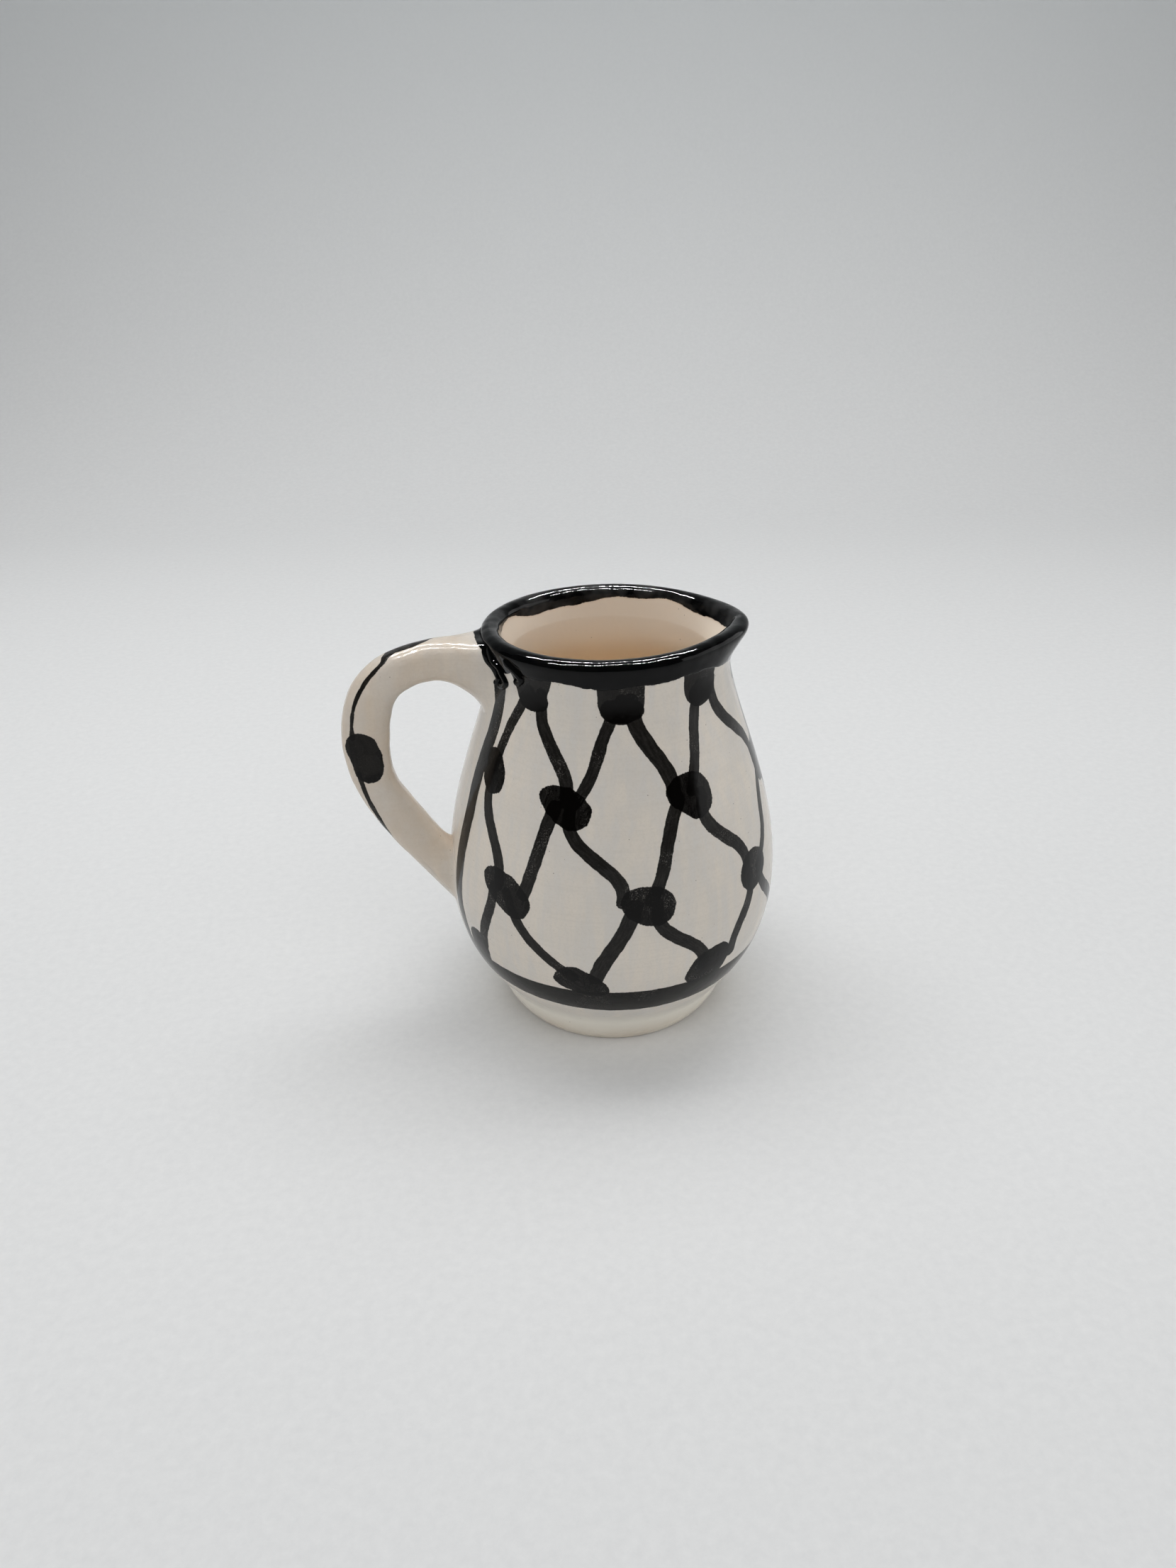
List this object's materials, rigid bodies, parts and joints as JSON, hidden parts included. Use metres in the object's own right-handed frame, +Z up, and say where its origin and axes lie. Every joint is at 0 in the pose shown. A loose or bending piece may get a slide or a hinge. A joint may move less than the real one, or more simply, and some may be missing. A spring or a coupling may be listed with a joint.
{
  "type": "milk jug",
  "caption": "Small round-bellied glazed ceramic jug with a flared foot, a rolled black rim drawn out into a pouring lip, and a looped side handle.",
  "frame": {"origin": "middle of the flat base, on the pot's axis", "axes": "+Z up along the pot's axis, -X towards the handle, +X towards the pouring lip's side"},
  "size_m": [0.1043, 0.0812, 0.1017],
  "materials": {
    "cream_glaze": "clear gloss glaze over cream clay, brushed with black",
    "black_glaze": "thick glossy black glaze"
  },
  "bodies": {
    "root": {"foot": "cream_glaze", "body": "cream_glaze", "rim": "black_glaze", "handle": "cream_glaze", "upper_handle_slip": "cream_glaze", "lower_handle_slip": "cream_glaze"}
  },
  "joints": []
}
